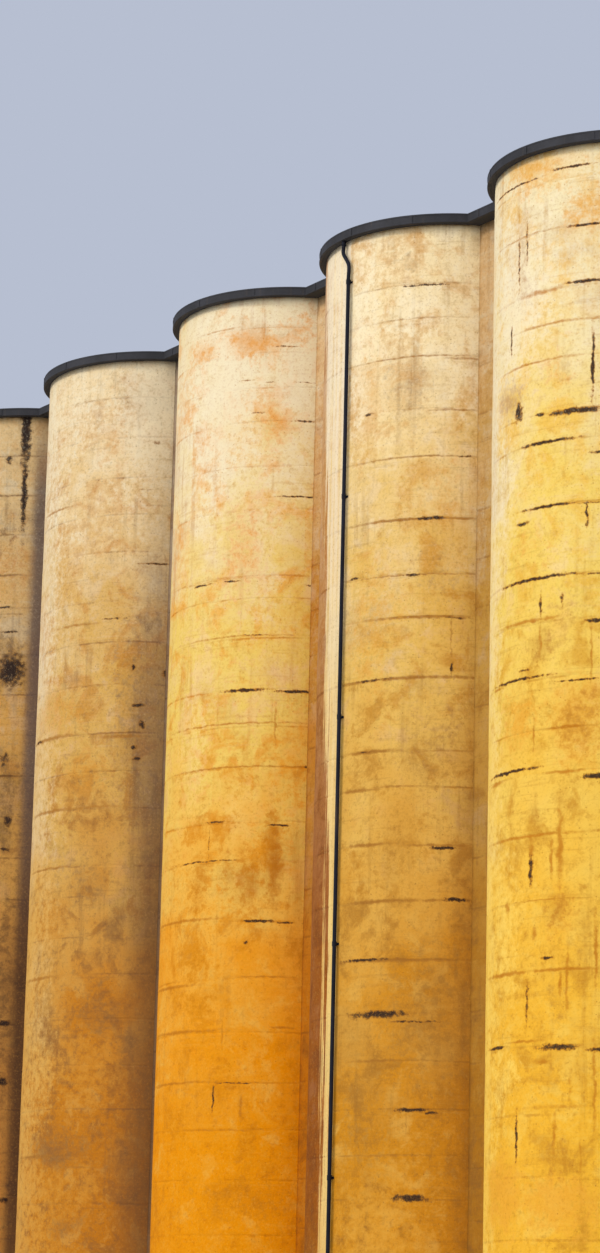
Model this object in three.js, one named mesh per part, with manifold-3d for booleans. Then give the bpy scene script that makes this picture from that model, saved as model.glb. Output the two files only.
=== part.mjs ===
// A bank of five round concrete silos in one row, joined by recessed link walls under one flat
// roof with a dark edge band. A downpipe runs down the front of silo 4.
// Units are millimetres. Z is up, X runs along the row and the front faces -Y. The origin is the
// middle of the footprint, at floor level.

import * as THREE from "three";
import { mergeVertices } from "three/addons/utils/BufferGeometryUtils.js";
import Module from "manifold-3d";

const wasm = await Module();
wasm.setup();

// Driving dimensions
const siloCount = 5;
const pitch = 7500;
const outerRadius = 3350;
const wallThickness = 200;
const liftHeight = 1250;
const liftCount = 24;
const roofOverhang = 200;
const roofSlabThickness = 210;
const edgeUpstand = 30;
const edgeThickness = 80;
const floorThickness = 300;
const pieceGap = 0.3;

// Round walls are made of flats that each turn through this angle
const flatDegrees = 6;

// Worked out from the driving dimensions
const wallHeight = liftHeight * liftCount;
const innerRadius = outerRadius - wallThickness;
const roofBase = wallHeight + pieceGap;
const roofRadius = outerRadius + roofOverhang;
const halfBay = pitch / 2;

// The straight roof edge over a valley meets the round edge at this angle from the row's axis
const valleyDegrees = 30;
const valleyEdge = roofRadius * Math.sin(radians(valleyDegrees));

// A link wall's outer face meets the round wall at this angle from the row's axis
const linkDegrees = 24;
const linkFace = outerRadius * Math.sin(radians(linkDegrees));

// Downpipe
const pipeSilo = 4;
const pipeDegrees = -87;
const pipeRadius = 50;
const pipeSides = 16;
const pipeStandoff = 90;
const socketRadius = 62;
const socketHeight = 120;
const lugSize = 56;
const neckShift = 230;
const neckTop = 350;
const neckBend = 350;
const neckLength = 1100;
const footHeight = 400;
const footRadius = 66;
const footCollar = 150;
const pipeLengths = 5;

const siloColours = [0x9c7447, 0xb28a4e, 0xc98f42, 0xb58449, 0xcf9f55];
const concreteColour = 0xb58f5a;
const roofColour = 0x8f8a80;
const edgeColour = 0x34353c;
const pipeColour = 0x2b2d33;

function radians(degrees) {
  return (degrees * Math.PI) / 180;
}

function siloX(silo) {
  return (silo - (siloCount + 1) / 2) * pitch;
}

function onCircle(radius, degrees) {
  return new THREE.Vector2(radius * Math.cos(radians(degrees)), radius * Math.sin(radians(degrees)));
}

// Corners of the flat-sided circle from one angle to another, both included
function arcPoints(radius, fromDegrees, toDegrees) {
  const steps = Math.round(Math.abs(toDegrees - fromDegrees) / flatDegrees);
  const points = [];
  for (let step = 0; step <= steps; step += 1) {
    points.push(onCircle(radius, fromDegrees + ((toDegrees - fromDegrees) * step) / steps));
  }
  return points;
}

// How far from the centre, along the row, the flat-sided circle lies at a given depth
function crossingX(radius, depth) {
  const angle = (Math.asin(depth / radius) * 180) / Math.PI;
  const lower = Math.floor(angle / flatDegrees) * flatDegrees;
  const from = onCircle(radius, lower);
  const to = onCircle(radius, lower + flatDegrees);
  const share = (depth - from.y) / (to.y - from.y);
  return from.x + (to.x - from.x) * share;
}

function prism(points, bottom, height) {
  const geometry = new THREE.ExtrudeGeometry(new THREE.Shape(points), {
    depth: height,
    bevelEnabled: false,
    steps: 1,
  });
  return geometry.translate(0, 0, bottom);
}

// A round solid about the Z axis from [radius, height] steps that start and end on the axis
function turned(steps) {
  const profile = steps.map(([radius, height]) => new THREE.Vector2(radius, height));
  return new THREE.LatheGeometry(profile, pipeSides).rotateX(Math.PI / 2);
}

function toSolid(geometry) {
  const bare = geometry.clone();
  bare.deleteAttribute("normal");
  bare.deleteAttribute("uv");
  const merged = mergeVertices(bare, 1e-3);
  const mesh = new wasm.Mesh({
    numProp: 3,
    vertProperties: new Float32Array(merged.attributes.position.array),
    triVerts: new Uint32Array(merged.index.array),
  });
  return new wasm.Manifold(mesh);
}

function joined(geometries) {
  const whole = geometries.map(toSolid).reduce((sum, solid) => sum.add(solid));
  const mesh = whole.getMesh();
  const geometry = new THREE.BufferGeometry();
  geometry.setAttribute("position", new THREE.BufferAttribute(mesh.vertProperties, 3));
  geometry.setIndex(new THREE.BufferAttribute(mesh.triVerts, 1));
  geometry.computeVertexNormals();
  return geometry;
}

const part = new THREE.Group();
part.name = "concrete_silo_bank";

function addPiece(name, geometry, color, roughness, metalness) {
  const material = new THREE.MeshStandardMaterial({ color, roughness, metalness, flatShading: true });
  const mesh = new THREE.Mesh(geometry, material);
  mesh.name = name;
  part.add(mesh);
  return mesh;
}

function addConcrete(name, geometry, color) {
  return addPiece(name, geometry, color, 0.92, 0);
}

// Front half of a shell: the outer face runs from the left end to the right, the inner one back
function halfShell() {
  const outline = [...arcPoints(outerRadius, 180, 360), ...arcPoints(innerRadius, 360, 180)];
  return prism(outline, 0, wallHeight).translate(0, -pieceGap / 2, 0);
}

function addSilo(silo) {
  const colour = siloColours[silo - 1];
  const front = halfShell().translate(siloX(silo), 0, 0);
  const back = halfShell().rotateZ(Math.PI).translate(siloX(silo), 0, 0);
  addConcrete(`silo_${silo}_front_shell`, front, colour);
  addConcrete(`silo_${silo}_back_shell`, back, colour);

  const floorOutline = arcPoints(innerRadius - pieceGap, 0, 360 - flatDegrees);
  const floor = prism(floorOutline, 0, floorThickness).translate(siloX(silo), 0, 0);
  addConcrete(`silo_floor_${silo}`, floor, concreteColour);
}

// A link wall stands between two shells, its ends lying on one flat of each
function addLinkWalls(silo) {
  const depths = [linkFace, linkFace - wallThickness];
  const reach = depths.map((depth) => halfBay - crossingX(outerRadius, depth) - pieceGap);
  const outline = [
    new THREE.Vector2(-reach[0], -depths[0]),
    new THREE.Vector2(reach[0], -depths[0]),
    new THREE.Vector2(reach[1], -depths[1]),
    new THREE.Vector2(-reach[1], -depths[1]),
  ];
  const valleyX = siloX(silo) + halfBay;
  const front = prism(outline, 0, wallHeight).translate(valleyX, 0, 0);
  const back = prism(outline, 0, wallHeight).rotateZ(Math.PI).translate(valleyX, 0, 0);
  addConcrete(`link_wall_front_${silo}`, front, concreteColour);
  addConcrete(`link_wall_back_${silo}`, back, concreteColour);
}

// The roof outline round one silo, from the valley beside one angle to the valley beside another.
// It starts and ends on the lines where neighbouring bays meet.
function roofPath(inset, fromDegrees, toDegrees) {
  const radius = roofRadius - inset;
  const depth = valleyEdge - inset;
  const ends = [fromDegrees, toDegrees].map((degrees) => {
    const towards = onCircle(1, degrees);
    const side = Math.sign(towards.x);
    const face = Math.sign(towards.y) * depth;
    return [
      new THREE.Vector2(side * (halfBay - pieceGap / 2), face),
      new THREE.Vector2(side * crossingX(radius, depth), face),
    ];
  });
  const path = [...ends[0], ...arcPoints(radius, fromDegrees, toDegrees), ...ends[1].reverse()];
  return path.filter((point, index) => index === 0 || point.distanceTo(path[index - 1]) > 0.01);
}

// Angles between which each part of the roof edge runs
const frontSpan = [180 + valleyDegrees, 360 - valleyDegrees];
const backSpan = [valleyDegrees, 180 - valleyDegrees];
const leftEndSpan = [valleyDegrees, 360 - valleyDegrees];
const rightEndSpan = [180 + valleyDegrees, 540 - valleyDegrees];

function roofSpans(silo) {
  if (silo === 1) {
    return { roof_edge: leftEndSpan };
  }
  if (silo === siloCount) {
    return { roof_edge: rightEndSpan };
  }
  return { roof_edge_front: frontSpan, roof_edge_back: backSpan };
}

function addRoof(silo) {
  const spans = Object.entries(roofSpans(silo));
  const slabInset = edgeThickness + pieceGap;
  const slabOutline = spans.flatMap(([, span]) => roofPath(slabInset, ...span));
  const slab = prism(slabOutline, roofBase, roofSlabThickness).translate(siloX(silo), 0, 0);
  addConcrete(`roof_slab_${silo}`, slab, roofColour);

  for (const [name, span] of spans) {
    const outline = [...roofPath(0, ...span), ...roofPath(edgeThickness, ...span).reverse()];
    const band = prism(outline, roofBase, roofSlabThickness + edgeUpstand);
    addPiece(`${name}_${silo}`, band.translate(siloX(silo), 0, 0), edgeColour, 0.6, 0.4);
  }
}

// Downpipe pieces are drawn about their own axis, with the wall towards +Y
const wallFlat = outerRadius * Math.cos(radians(flatDegrees / 2));
const pipeOffset = outerRadius + pipeStandoff;
const lugReach = pipeOffset - wallFlat - pieceGap;

function wallLug(middle) {
  const lug = new THREE.BoxGeometry(lugSize, lugReach, lugSize);
  return lug.translate(0, lugReach / 2, middle);
}

function addPipePiece(name, geometry) {
  const placed = geometry.translate(0, -pipeOffset, 0).rotateZ(radians(pipeDegrees + 90));
  addPiece(name, placed.translate(siloX(pipeSilo), 0, 0), pipeColour, 0.55, 0.5);
}

// The neck drops from the roof's underside, steps sideways and runs on down to the first length
function addSwanNeck() {
  const top = wallHeight;
  const bottom = top - neckLength;
  const route = new THREE.CatmullRomCurve3([
    new THREE.Vector3(-neckShift, 0, top),
    new THREE.Vector3(-neckShift, 0, top - neckTop),
    new THREE.Vector3(0, 0, top - neckTop - neckBend),
    new THREE.Vector3(0, 0, bottom),
  ]);
  const section = new THREE.Shape(
    Array.from({ length: pipeSides }, (_, side) => onCircle(pipeRadius, (360 * side) / pipeSides)),
  );
  const neck = new THREE.ExtrudeGeometry(section, { steps: 14, extrudePath: route, bevelEnabled: false });
  const collar = turned([
    [0, top - socketHeight],
    [socketRadius, top - socketHeight],
    [socketRadius, top],
    [0, top],
  ]).translate(-neckShift, 0, 0);
  addPipePiece("downpipe_swan_neck", joined([neck, collar]));
}

function addPipeLengths() {
  const top = wallHeight - neckLength - pieceGap;
  const step = (top - footHeight) / pipeLengths;
  for (let index = 0; index < pipeLengths; index += 1) {
    const high = top - index * step;
    const low = high - step + pieceGap;
    const tube = turned([
      [0, low],
      [pipeRadius, low],
      [pipeRadius, high - socketHeight],
      [socketRadius, high - socketHeight],
      [socketRadius, high],
      [0, high],
    ]);
    const piece = joined([tube, wallLug(high - socketHeight / 2)]);
    addPipePiece(`downpipe_length_${index + 1}`, piece);
  }
}

function addPipeFoot() {
  const foot = turned([
    [0, 0],
    [footRadius, 0],
    [footRadius, footCollar],
    [pipeRadius, footCollar],
    [pipeRadius, footHeight],
    [0, footHeight],
  ]);
  addPipePiece("downpipe_foot", foot);
}

for (let silo = 1; silo <= siloCount; silo += 1) {
  addSilo(silo);
  addRoof(silo);
  if (silo < siloCount) {
    addLinkWalls(silo);
  }
}
addSwanNeck();
addPipeLengths();
addPipeFoot();

export default part;
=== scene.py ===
# Looks for a bank of five round concrete silos: weathered golden concrete cast in lifts, a dark
# roof edge and a dark downpipe. Units are metres, Z is up and the front faces -Y.

import math
import random

import bpy
import numpy as np
from mathutils import Matrix, Vector, noise


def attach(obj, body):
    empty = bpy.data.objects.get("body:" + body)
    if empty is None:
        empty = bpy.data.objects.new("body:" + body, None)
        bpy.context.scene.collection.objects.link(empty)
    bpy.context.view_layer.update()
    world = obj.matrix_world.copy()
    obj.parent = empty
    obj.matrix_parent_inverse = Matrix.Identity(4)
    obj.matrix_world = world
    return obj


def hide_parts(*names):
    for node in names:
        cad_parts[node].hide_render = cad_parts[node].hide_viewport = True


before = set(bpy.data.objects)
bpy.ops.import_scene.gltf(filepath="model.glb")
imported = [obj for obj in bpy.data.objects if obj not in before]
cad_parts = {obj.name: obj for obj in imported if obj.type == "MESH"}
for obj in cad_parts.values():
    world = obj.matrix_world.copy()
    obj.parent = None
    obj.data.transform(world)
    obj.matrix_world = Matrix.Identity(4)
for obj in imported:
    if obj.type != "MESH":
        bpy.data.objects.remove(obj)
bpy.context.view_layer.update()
scene = bpy.context.scene

# Sizes of the part
SILOS = 5
PITCH = 7.5
RADIUS = 3.35
WALL = 0.2
HEIGHT = 30.0
OVERHANG = 0.2
ROOF_BASE = HEIGHT + 0.0003
EDGE_HEIGHT = 0.24
EDGE_THICKNESS = 0.08
BEAD_INSET = 0.0065
EDGE_TURN = 2
STRIP_SPACING = 1.9
STRIP_WIDTH = 0.09
PIECE_GAP = 0.0003
SHARP_DEGREES = 35
VALLEY_DEGREES = 30
LINK_DEGREES = 24
PANEL_WIDTH = 1.22
PIPE_SILO = 4
LIFT = 1.25

# Relief of the walls: a groove with a lip beside it at each pour joint, and the rows and columns
# of points that carry it
GROOVE_DEPTH = 0.008
GROOVE_REACH = 0.03
LIP_HEIGHT = 0.005
LIP_REACH = 0.045
JOINT_REACH = 0.09
ROW_SPACING = 0.32
FRONT_COLUMNS = 160
BACK_COLUMNS = 80
LINK_COLUMNS = 13

# Heights of the pour joints above the floor. The links and the first silo have a joint at every
# lift; the others are placed as far down as they can be seen, then evenly on.
LINK_JOINTS = [28.75 - LIFT * step for step in range(23)]
JOINTS = {
    1: LINK_JOINTS,
    2: [28.9, 27.7, 26.5, 25.4, 24.3, 22.85, 21.65, 20.4, 19, 17.9, 16.85, 15.2, 14.35, 13.2,
        12.15, 10.9, 9.6, 8.4, 7.1, 5.8, 4.4, 3, 1.5],
    3: [29.15, 28.45, 27.45, 26.5, 25.25, 24.05, 22.2, 21.6, 20.5, 19.1, 18.1, 17, 15.55, 14.5,
        12.9, 11.4, 10, 8.7, 7.5, 6.2, 4.8, 3.4, 2],
    4: [28.45, 27.55, 26.55, 25.15, 23.9, 22.3, 20.9, 19.8, 18.25, 16.4, 15.5, 14.1, 12.7, 11.25,
        9.95, 8.8, 7.65, 6.55, 5.5, 4.2, 2.9, 1.5],
    5: [29.2, 28, 26.5, 25.65, 24.8, 23.5, 22.8, 21.25, 19.55, 18.5, 17.15, 15.95, 14.95, 13.55,
        12, 10.4, 8.7, 7.17, 5.8, 4.4, 2.9, 1.5],
}

# Marks on the walls. Each runs from one angle to another round its silo, in degrees with -90 at
# the front, and from one height to another, with a strength. Strokes are thin and keep to their
# place; washes are broad, with borders that wander, and some run on past the wall's ends.
DARK_STROKES = {
    1: [(-39, -33.5, 28.2, 31.5, 0.95), (-37.5, -34.5, 26.3, 28.6, 0.9), (-48, -39, 23.93, 24.02, 0.7),
        (-45, -36, 23.16, 23.24, 0.6), (-46, -32, 21.5, 22.5, 0.9), (-43, -38, 19, 19.5, 0.6),
        (-40, -35, 17.2, 17.6, 0.6), (-48, -40, 11.6, 11.8, 0.8), (-47, -43, 28.45, 28.8, 0.6),
        (-41, -36, 16.43, 16.6, 0.6), (-38, -31, 11.22, 11.4, 0.9), (-37, -32, 9.45, 9.72, 0.95),
        (-34, -28.4, 6.02, 6.2, 0.7)],
    2: [(-39, -21, 23.9, 23.98, 0.6), (-60, -41, 22.3, 22.37, 0.5), (-42, -30, 26.1, 26.17, 0.4),
        (-41, -38.6, 20.8, 21, 0.9), (-26, -21, 20.62, 20.85, 1), (-40, -34, 19.72, 19.86, 0.9),
        (-36.5, -33, 19.1, 19.36, 1), (-40, -36.5, 18.5, 18.64, 0.9), (-39, -35, 18.18, 18.32, 0.8),
        (-112, -97, 19, 19.1, 0.7), (-34, -30, 27.45, 27.6, 0.5)],
    3: [(-44, -31, 28.57, 28.63, 0.5), (-62, -52, 27.66, 27.72, 0.45), (-48, -43, 27.58, 27.63, 0.5),
        (-36, -20, 27.57, 27.62, 0.4), (-53, -47, 26.72, 26.79, 0.55), (-35, -21, 26.47, 26.54, 0.6),
        (-42, -20, 24.36, 24.42, 0.7), (-85, -72, 22.07, 22.14, 0.65), (-66, -58, 22.08, 22.14, 0.7),
        (-27, -22, 21.92, 21.98, 0.6), (-60, -44, 20.57, 20.62, 0.5), (-66, -42, 19.05, 19.15, 1),
        (-41, -19, 19, 19.09, 0.95), (-26, -19, 17, 17.06, 0.7), (-73, -60, 15.55, 15.62, 0.65),
        (-42, -30, 15.42, 15.48, 0.65), (-70.5, -69.6, 14.6, 15.5, 0.5), (-98, -54, 14.52, 14.57, 0.55),
        (-52, -37, 12.86, 12.95, 1), (-36, -28, 12.85, 12.92, 0.95), (-24, -17, 12.84, 12.92, 0.9),
        (-51, -48, 12.3, 12.4, 0.6), (-66, -42, 8.67, 8.72, 0.6), (-64.4, -63.2, 7.9, 8.75, 0.7)],
    4: [(-61, -35, 28.38, 28.44, 0.6), (-77, -71, 25.12, 25.2, 0.6), (-33, -26, 23.87, 23.94, 0.6),
        (-51, -37, 22.25, 22.35, 0.85), (-84, -77, 20.9, 20.98, 0.6), (-56, -46, 20.82, 20.9, 0.6),
        (-44, -22, 19.72, 19.79, 0.45), (-34.4, -33.2, 18.25, 18.65, 0.7), (-80, -58, 18.22, 18.3, 0.6),
        (-76, -68, 16.42, 16.48, 0.55), (-42, -31, 13.95, 14.03, 1), (-35, -25, 12.67, 12.78, 1),
        (-82, -58, 11.24, 11.33, 0.75), (-78, -50, 9.84, 10.04, 1), (-58, -36, 9.72, 9.78, 0.6),
        (-55, -40, 7.58, 7.68, 0.85), (-44, -36, 7.52, 7.6, 0.6), (-56, -40, 5.44, 5.62, 0.9)],
    5: [(-118, -78, 29.37, 29.43, 0.7), (-73, -54, 29.46, 29.53, 0.9), (-66, -46, 27.96, 28.03, 0.8),
        (-67, -46, 26.55, 26.64, 0.95), (-73, -48, 23.38, 23.54, 1), (-80, -75, 23.44, 23.54, 0.9),
        (-93, -88, 23.45, 23.95, 0.85), (-89, -60, 22.76, 22.86, 1), (-55, -46, 22.37, 22.45, 0.8),
        (-88, -61, 21.21, 21.29, 0.9), (-61, -46, 21.18, 21.23, 0.5), (-91, -84, 20.9, 21, 1),
        (-101, -58, 19.51, 19.6, 1), (-57, -46, 19.48, 19.55, 0.6), (-57, -44, 18.36, 18.46, 1),
        (-111, -71, 17.2, 17.28, 0.85), (-89, -82, 17.4, 17.48, 0.6), (-70, -48, 17.02, 17.08, 0.6),
        (-114, -77, 15.06, 15.15, 1), (-58, -44, 14.72, 14.86, 1), (-76, -70, 10.66, 10.74, 0.8),
        (-113, -93, 8.72, 8.8, 0.8), (-77, -57, 8.6, 8.75, 0.8), (-56, -46, 8.54, 8.64, 0.6),
        (-54.6, -53.2, 23.7, 25.4, 0.95), (-97, -95.6, 25.15, 25.9, 0.85), (-92, -90.4, 26.5, 28.2, 0.55),
        (-86.6, -85.4, 27.3, 28.6, 0.55), (-56.6, -55.4, 20.6, 21.3, 0.7), (-77.4, -75.8, 18.55, 19.2, 0.7),
        (-67.2, -65.6, 18.65, 19.15, 0.55), (-82, -79.6, 12.4, 13.1, 0.9), (-83.2, -81.4, 9.15, 10.35, 0.6),
        (-88.6, -86.8, 6.1, 7.3, 0.7)],
}
RUST_STROKES = {
    1: [(-60, -30, 27.45, 27.53, 0.6), (-60, -30, 24.94, 25.02, 0.6), (-60, -32, 18.7, 18.8, 0.7),
        (-60, -36, 16.2, 16.28, 0.6)],
    2: [(-108, -75, 25.8, 25.88, 0.8), (-88, -58, 22.2, 22.28, 0.7), (-112, -70, 18.98, 19.1, 1),
        (-56, -34, 18.85, 18.96, 0.9), (-66, -42, 16.86, 16.94, 0.6),
        (-110, -62, 16.85, 16.95, 0.95), (-108, -68, 15.2, 15.28, 0.75), (-112, -74, 12.08, 12.18, 0.9),
        (-72, -44, 12.1, 12.16, 0.45), (-104, -68, 7.05, 7.17, 1), (-70, -50, 6.75, 6.83, 0.6),
        (-95, -40, 28.9, 28.95, 0.35), (-80, -40, 20.4, 20.46, 0.4)],
    3: [(-88, -60, 29.2, 29.26, 0.5), (-98, -20, 20.55, 20.61, 0.6), (-105, -18, 18.17, 18.24, 0.7),
        (-100, -18, 17, 17.06, 0.7), (-39.2, -38, 17.6, 18.8, 0.6), (-104, -40, 15.5, 15.56, 0.5),
        (-118, -60, 12.97, 13.06, 0.95), (-60, -24, 11.42, 11.48, 0.6), (-118, -75, 11.25, 11.34, 0.85),
        (-60.6, -59.4, 9.5, 10.6, 0.6), (-116, -59, 10.02, 10.12, 0.95), (-38, -26, 10.1, 10.17, 0.7),
        (-118, -64, 8.7, 8.78, 0.8), (-50.6, -49.2, 7.7, 8.45, 0.7), (-110, -40, 22.15, 22.2, 0.4),
        (-40, -34, 13.4, 15.4, 0.9), (-96, -50, 25.25, 25.3, 0.3), (-90, -36, 7.45, 7.52, 0.6)],
    4: [(-88, -22, 28.42, 28.47, 0.45), (-86, -26, 27.52, 27.57, 0.4), (-88, -20, 26.5, 26.56, 0.65),
        (-40, -20, 26.42, 26.5, 0.6), (-48, -20, 25.08, 25.15, 0.65), (-88, -22, 23.88, 23.94, 0.65),
        (-86, -22, 22.26, 22.34, 0.75), (-86, -20, 20.84, 20.9, 0.65), (-78, -20, 19.74, 19.82, 0.7),
        (-34.4, -33.4, 18.6, 19.9, 0.5), (-88, -18, 18.2, 18.3, 0.8), (-84, -57, 16.4, 16.5, 0.95),
        (-50, -36, 16.36, 16.42, 0.45), (-86, -68, 15.45, 15.57, 1), (-72, -44, 15.5, 15.57, 0.6),
        (-84, -57, 14.07, 14.17, 0.95), (-52, -26, 14.02, 14.1, 0.7), (-85, -45, 12.64, 12.76, 1),
        (-46, -36, 12.66, 12.74, 0.7), (-82, -32, 11.2, 11.3, 0.85), (-80, -50, 8.78, 8.86, 0.6),
        (-80, -40, 6.5, 6.58, 0.5)],
    5: [(-112, -62, 28, 28.05, 0.5), (-88, -64, 26.45, 26.57, 0.75), (-92, -46, 25.65, 25.72, 0.7),
        (-104, -58, 24.78, 24.85, 0.7), (-104, -68, 18.52, 18.63, 0.9), (-112, -100, 17.12, 17.2, 0.7),
        (-76, -54, 15.93, 16.01, 0.8), (-113, -100, 14.85, 14.97, 1), (-72, -56, 14.9, 14.98, 0.85),
        (-112, -54, 13.48, 13.57, 0.9), (-104, -50, 12, 12.05, 0.45), (-113, -80, 10.36, 10.47, 1),
        (-84, -50, 10.38, 10.46, 1), (-94, -75, 8.8, 8.88, 0.8), (-78, -71, 8.3, 8.42, 0.7),
        (-86, -54, 7.28, 7.4, 0.5), (-68.2, -65.4, 12.35, 14.2, 1), (-71.4, -69.8, 12.4, 13.4, 0.8),
        (-67.2, -65.6, 9.8, 10.4, 0.8), (-64, -62.6, 9.3, 11.2, 0.7), (-52.4, -50.8, 9.8, 11.7, 0.9),
        (-77.6, -76, 17.7, 18.6, 0.6), (-54.6, -53.4, 16.9, 18.4, 0.7), (-80.4, -79.2, 15.55, 16.3, 0.7),
        (-82, -79, 12.9, 13.6, 0.6), (-70, -60, 24.2, 24.3, 0.4), (-69.4, -67.4, 6.3, 7.2, 0.7),
        (-52.8, -51.2, 6.7, 8.9, 0.7), (-97, -93, 11.8, 12.1, 0.7), (-80.2, -77.4, 11.1, 11.4, 0.8),
        (-62.4, -61, 7.3, 8.3, 0.5), (-58, -56.6, 5.6, 7, 0.5)],
}
# Brown washes; those along a silo's right edge, beside the valley, are partly stains and partly painted
# shade
BROWN_WASHES_AND_SHADE = {
    1: [(-58, -24, 17, 19.6, 0.6), (-60, -26, 21, 23.4, 0.6), (-46, -22, 8.5, 15.5, 0.65),
        (-50, -34, 16.2, 18.2, 0.7), (-56, -40, 25.4, 27, 0.4)],
    2: [(-34, -14, 2, 23, 0.4), (-50, -26, 16.5, 22.5, 0.5), (-50, -41, 12.6, 13.9, 0.75),
        (-64, -40, 10.4, 11.8, 0.5), (-45, -32, 9.7, 10.6, 0.6), (-75, -45, 13.5, 16, 0.35),
        (-92, -54, 6.7, 7.8, 0.55), (-75, -52, 4.5, 5.6, 0.5), (-42, -29, 21.8, 22.5, 0.6)],
    3: [(-56, -41, 13.2, 14.7, 0.95), (-42, -34, 13.4, 16, 0.7),
        (-27, -13, 9.2, 13.3, 0.55), (-30, -15, 6.3, 8.8, 0.2), (-82, -68, 13.3, 14.5, 0.5),
        (-63, -55, 13.6, 14.6, 0.6), (-72, -27, 5.1, 6.3, 0.5), (-86, -67, 11.5, 12.5, 0.5),
        (-84, -66, 10.3, 11.2, 0.45)],
    4: [(-34, -12, 3, 20, 0.35), (-58, -50, 29, 29.4, 0.5), (-62, -22, 8.2, 11.6, 0.55),
        (-60, -25, 15, 17.6, 0.4), (-52, -30, 20, 22, 0.35), (-84, -55, 5.2, 9.4, 0.3),
        (-70, -42, 12.8, 15.2, 0.4), (-68, -44, 24.4, 26.4, 0.35)],
    5: [(-110, -86, 23.7, 24.7, 0.6), (-84, -70, 17.4, 18.5, 0.6), (-74, -56, 17.6, 19.4, 0.3),
        (-72, -48, 15.3, 16.8, 0.45), (-78, -61, 11.2, 12.2, 0.6), (-72, -60, 9.2, 10.3, 0.35),
        (-92, -84, 26.2, 28.4, 0.35), (-84, -75, 13.1, 14.3, 0.45), (-71, -60, 14, 15, 0.4),
        (-79, -67, 7.5, 8.6, 0.45), (-73, -52, 5.7, 6.5, 0.45), (-60, -48, 10.6, 12, 0.4)],
}
ORANGE_WASHES = {
    1: [(-60, -25, 5, 10.5, 0.8), (-60, -25, 24, 26.5, 0.35)],
    2: [(-105, -62, 19, 20.6, 0.5), (-80, -50, 17, 18.6, 0.5), (-76, -34, 8.2, 10.6, 0.5),
        (-62, -44, 26.8, 28.2, 0.4), (-110, -50, 3, 7.4, 0.5), (-59, -49, 5.7, 6.9, 0.7)],
    3: [(-87, -66, 11.5, 12.5, 1), (-85, -66, 10.3, 11.2, 0.95), (-120, -15, -14, 14, 0.7),
        (-66, -40, 28.2, 29.3, 0.6), (-44, -24, 28.6, 29.6, 0.4), (-60, -28, 13.6, 16.2, 0.5),
        (-44, -16, 14.5, 19, 0.35), (-94, -74, 28.4, 29.2, 0.55), (-66, -44, 21.6, 24.6, 0.45),
        (-50, -34, 25.8, 27.2, 0.5)],
    4: [(-84, -56, 17.4, 22, 0.45), (-70, -40, 12.8, 15, 0.55), (-80, -66, 24.6, 27.2, 0.4),
        (-86, -40, 2, 6.6, 0.6), (-48, -28, 21, 24.5, 0.3)],
    5: [(-73, -46, 15.1, 17, 0.95), (-100, -78, 15.5, 16.9, 0.7), (-68, -46, 27.9, 29, 0.7),
        (-112, -84, 4.6, 6.2, 1), (-86, -46, 4.6, 5.9, 0.9), (-104, -62, 29, 30.2, 0.6),
        (-76, -58, 10.8, 12.4, 0.5), (-96, -70, 19.6, 21, 0.3), (-80, -60, 24, 25.2, 0.35)],
}
# Pale washes; the long ones down the left edges of silos 2 and 5 are painted highlights
PALE_WASHES_AND_HIGHLIGHTS = {
    1: [],
    2: [(-132, -84, -15, 46, 0.7), (-96, -60, 27, 30.2, 0.5), (-104, -72, 8.4, 10.6, 0.6),
        (-54, -12, 25.6, 31.5, 0.9)],
    3: [(-92, -46, 24, 30.4, 0.9), (-66, -36, 21, 25.6, 0.5), (-96, -70, 15.2, 19.5, 0.4),
        (-64, -42, 14.6, 16.7, 0.5), (-44, -12, 24.4, 31, 0.65)],
    4: [(-92, -68, 24.5, 30.2, 0.6), (-62, -36, 26.6, 28.6, 0.5), (-44, -14, 24, 29.5, 0.45)],
    5: [(-132, -104, -10, 40, 0.7), (-114, -72, 24.2, 28.6, 0.8), (-112, -86, 9.6, 13.4, 0.5),
        (-112, -92, 6.4, 9, 0.5), (-110, -92, 19.6, 23.4, 0.5), (-108, -84, 7.5, 8.5, 0.6)],
}

# Tones of each silo's concrete, as linear colours: top, middle, foot and the shaded brown
TONES = {
    1: ((0.62, 0.43, 0.20), (0.56, 0.31, 0.075), (0.52, 0.23, 0.045), (0.08, 0.04, 0.022)),
    2: ((0.76, 0.58, 0.32), (0.60, 0.355, 0.085), (0.47, 0.17, 0.01), (0.17, 0.085, 0.035)),
    3: ((0.785, 0.66, 0.41), (0.765, 0.535, 0.115), (0.74, 0.255, 0.0), (0.42, 0.14, 0.006)),
    4: ((0.84, 0.68, 0.39), (0.70, 0.44, 0.10), (0.54, 0.22, 0.01), (0.27, 0.12, 0.022)),
    5: ((0.81, 0.69, 0.41), (0.80, 0.56, 0.11), (0.78, 0.41, 0.03), (0.38, 0.14, 0.012)),
}
# Tones of the link walls in the recessed valleys, darker than the silos' as painted shade
LINK_TONES = {
    1: ((0.34, 0.23, 0.12), (0.24, 0.14, 0.065), (0.20, 0.10, 0.035), (0.08, 0.04, 0.02)),
    2: ((0.34, 0.25, 0.165), (0.20, 0.12, 0.062), (0.18, 0.09, 0.036), (0.08, 0.04, 0.02)),
    3: ((0.62, 0.41, 0.20), (0.44, 0.20, 0.03), (0.42, 0.125, 0.002), (0.16, 0.05, 0.008)),
    4: ((0.56, 0.355, 0.16), (0.45, 0.25, 0.047), (0.345, 0.145, 0.012), (0.20, 0.09, 0.022)),
}

# Grime and painted shade in the valley to the right of each silo: they start and are full where the
# wall's turn from the front has these sines, have this strength, and thin out above this height. The
# last silo has no valley there, so its sines are out of reach.
VALLEY_GRIME_AND_SHADE = {
    1: (0.82, 0.90, 0.85, 27),
    2: (0.66, 0.95, 0.62, 15),
    3: (0.78, 0.98, 0.08, 15),
    4: (0.80, 0.96, 0.28, 15),
    5: (1.1, 1.2, 0.66, 15),
}
# High up in the first two valleys the grime and painted shade are greyer
GREY_GRIME_AND_SHADE = (0.12, 0.09, 0.085)
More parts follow.
